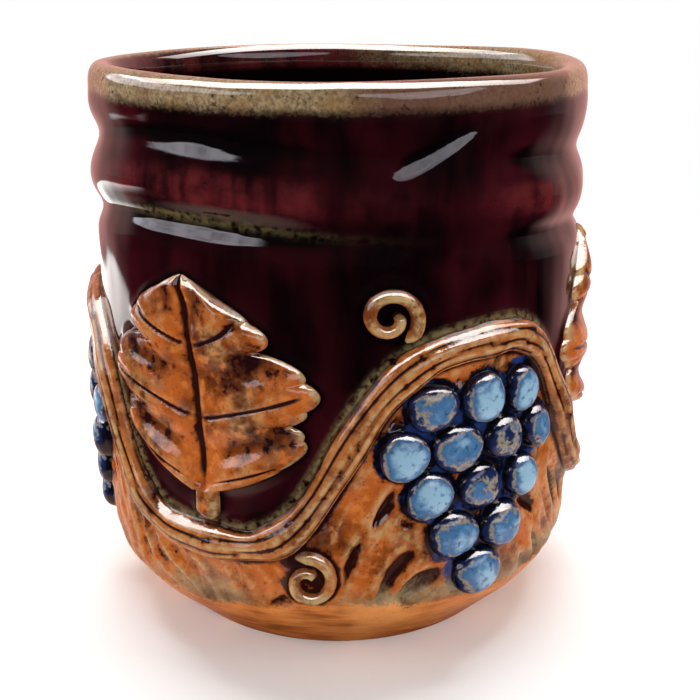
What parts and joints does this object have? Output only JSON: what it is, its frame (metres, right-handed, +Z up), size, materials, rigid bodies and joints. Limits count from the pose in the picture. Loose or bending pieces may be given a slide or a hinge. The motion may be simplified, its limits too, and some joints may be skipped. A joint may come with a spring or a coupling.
{
  "type": "mug",
  "caption": "Handleless stoneware drinking mug: round lip, ringed collar, straight wall with a grapevine scroll in relief, bevelled foot. Holds a hot or cold drink.",
  "frame": {"origin": "centre of the foot, on the table", "axes": "+Z up along the axis of the pot; -Y towards the viewer in the picture, with a leaf to the left and a bunch to the right"},
  "size_m": [0.0897, 0.0898, 0.095],
  "materials": {
    "oxblood_glaze": "glossy dark red glaze that breaks to tan on the lip, over orange-brown stoneware left bare at the foot",
    "umber_glaze": "glossy brown glaze, paler where it thins over the crest",
    "amber_glaze": "glossy orange-brown glaze with darker pools along the veins",
    "blue_glaze": "glossy light blue glaze that runs to dark blue round the edge"
  },
  "bodies": {
    "root": {"clay_body": "oxblood_glaze", "vine": "umber_glaze", "leaf_1": "amber_glaze", "berry_1_1": "blue_glaze", "berry_1_2": "blue_glaze", "berry_1_3": "blue_glaze", "berry_1_4": "blue_glaze", "berry_1_5": "blue_glaze", "berry_1_6": "blue_glaze", "berry_1_7": "blue_glaze", "berry_1_8": "blue_glaze", "berry_1_9": "blue_glaze", "berry_1_10": "blue_glaze", "berry_1_11": "blue_glaze", "berry_1_12": "blue_glaze", "berry_1_13": "blue_glaze", "tendril_low_1": "umber_glaze", "tendril_high_1": "umber_glaze", "leaf_2": "amber_glaze", "berry_2_1": "blue_glaze", "berry_2_2": "blue_glaze", "berry_2_3": "blue_glaze", "berry_2_4": "blue_glaze", "berry_2_5": "blue_glaze", "berry_2_6": "blue_glaze", "berry_2_7": "blue_glaze", "berry_2_8": "blue_glaze", "berry_2_9": "blue_glaze", "berry_2_10": "blue_glaze", "berry_2_11": "blue_glaze", "berry_2_12": "blue_glaze", "berry_2_13": "blue_glaze", "tendril_low_2": "umber_glaze", "tendril_high_2": "umber_glaze", "leaf_3": "amber_glaze", "berry_3_1": "blue_glaze", "berry_3_2": "blue_glaze", "berry_3_3": "blue_glaze", "berry_3_4": "blue_glaze", "berry_3_5": "blue_glaze", "berry_3_6": "blue_glaze", "berry_3_7": "blue_glaze", "berry_3_8": "blue_glaze", "berry_3_9": "blue_glaze", "berry_3_10": "blue_glaze", "berry_3_11": "blue_glaze", "berry_3_12": "blue_glaze", "berry_3_13": "blue_glaze", "tendril_low_3": "umber_glaze", "tendril_high_3": "umber_glaze"}
  },
  "joints": []
}
